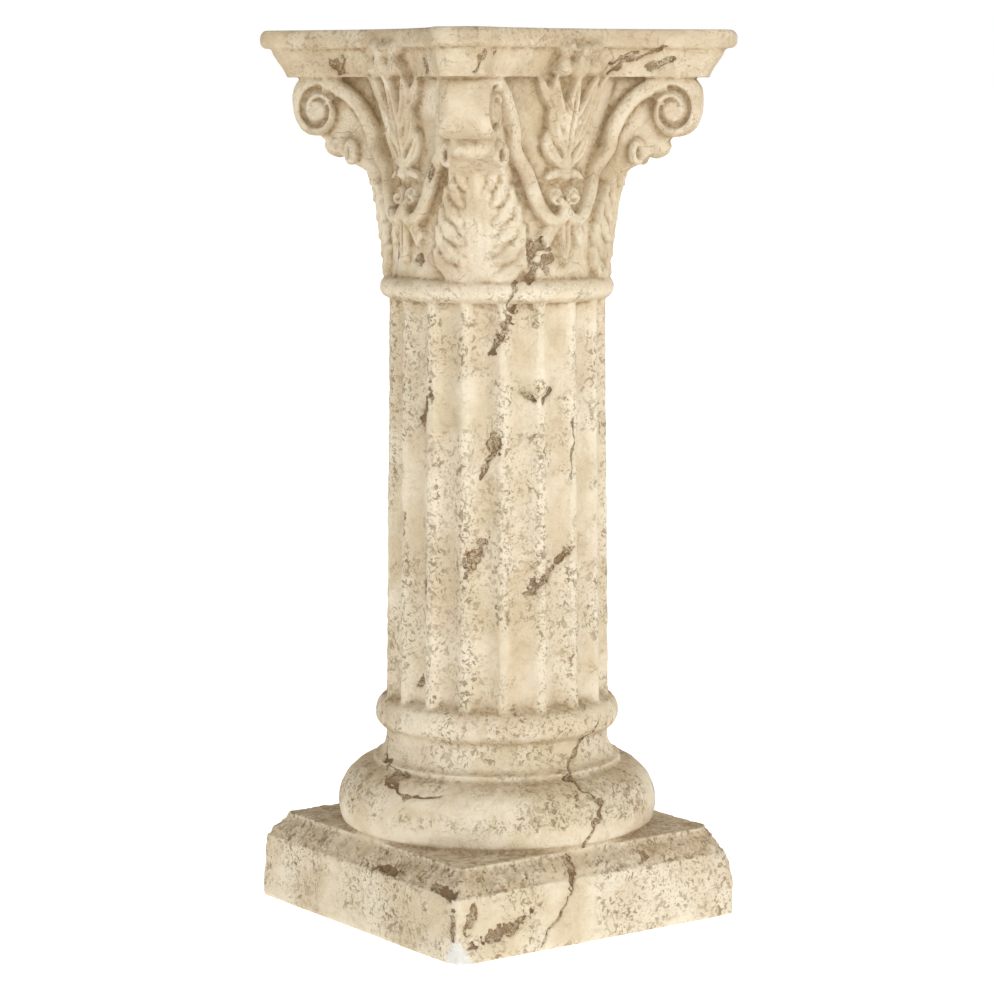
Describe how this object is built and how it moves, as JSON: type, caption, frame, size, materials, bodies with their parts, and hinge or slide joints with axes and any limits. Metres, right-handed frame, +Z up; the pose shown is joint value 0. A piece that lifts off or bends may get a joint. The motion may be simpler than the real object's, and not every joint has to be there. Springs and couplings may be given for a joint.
{
  "type": "corinthian pedestal column",
  "caption": "Decorative cast-plaster pedestal column with a square plinth, moulded round base, fluted shaft and leafy capital with corner volutes; carries a lamp, plant or bust on its flat top.",
  "frame": {"origin": "middle of the underside, on the floor", "axes": "+Z up along the shaft; plinth faces square to X and Y"},
  "size_m": [0.3232, 0.3232, 0.787],
  "materials": {
    "plaster": "matte antiqued cream plaster with brown in the hollows"
  },
  "bodies": {
    "root": {"column": "plaster"}
  },
  "joints": []
}
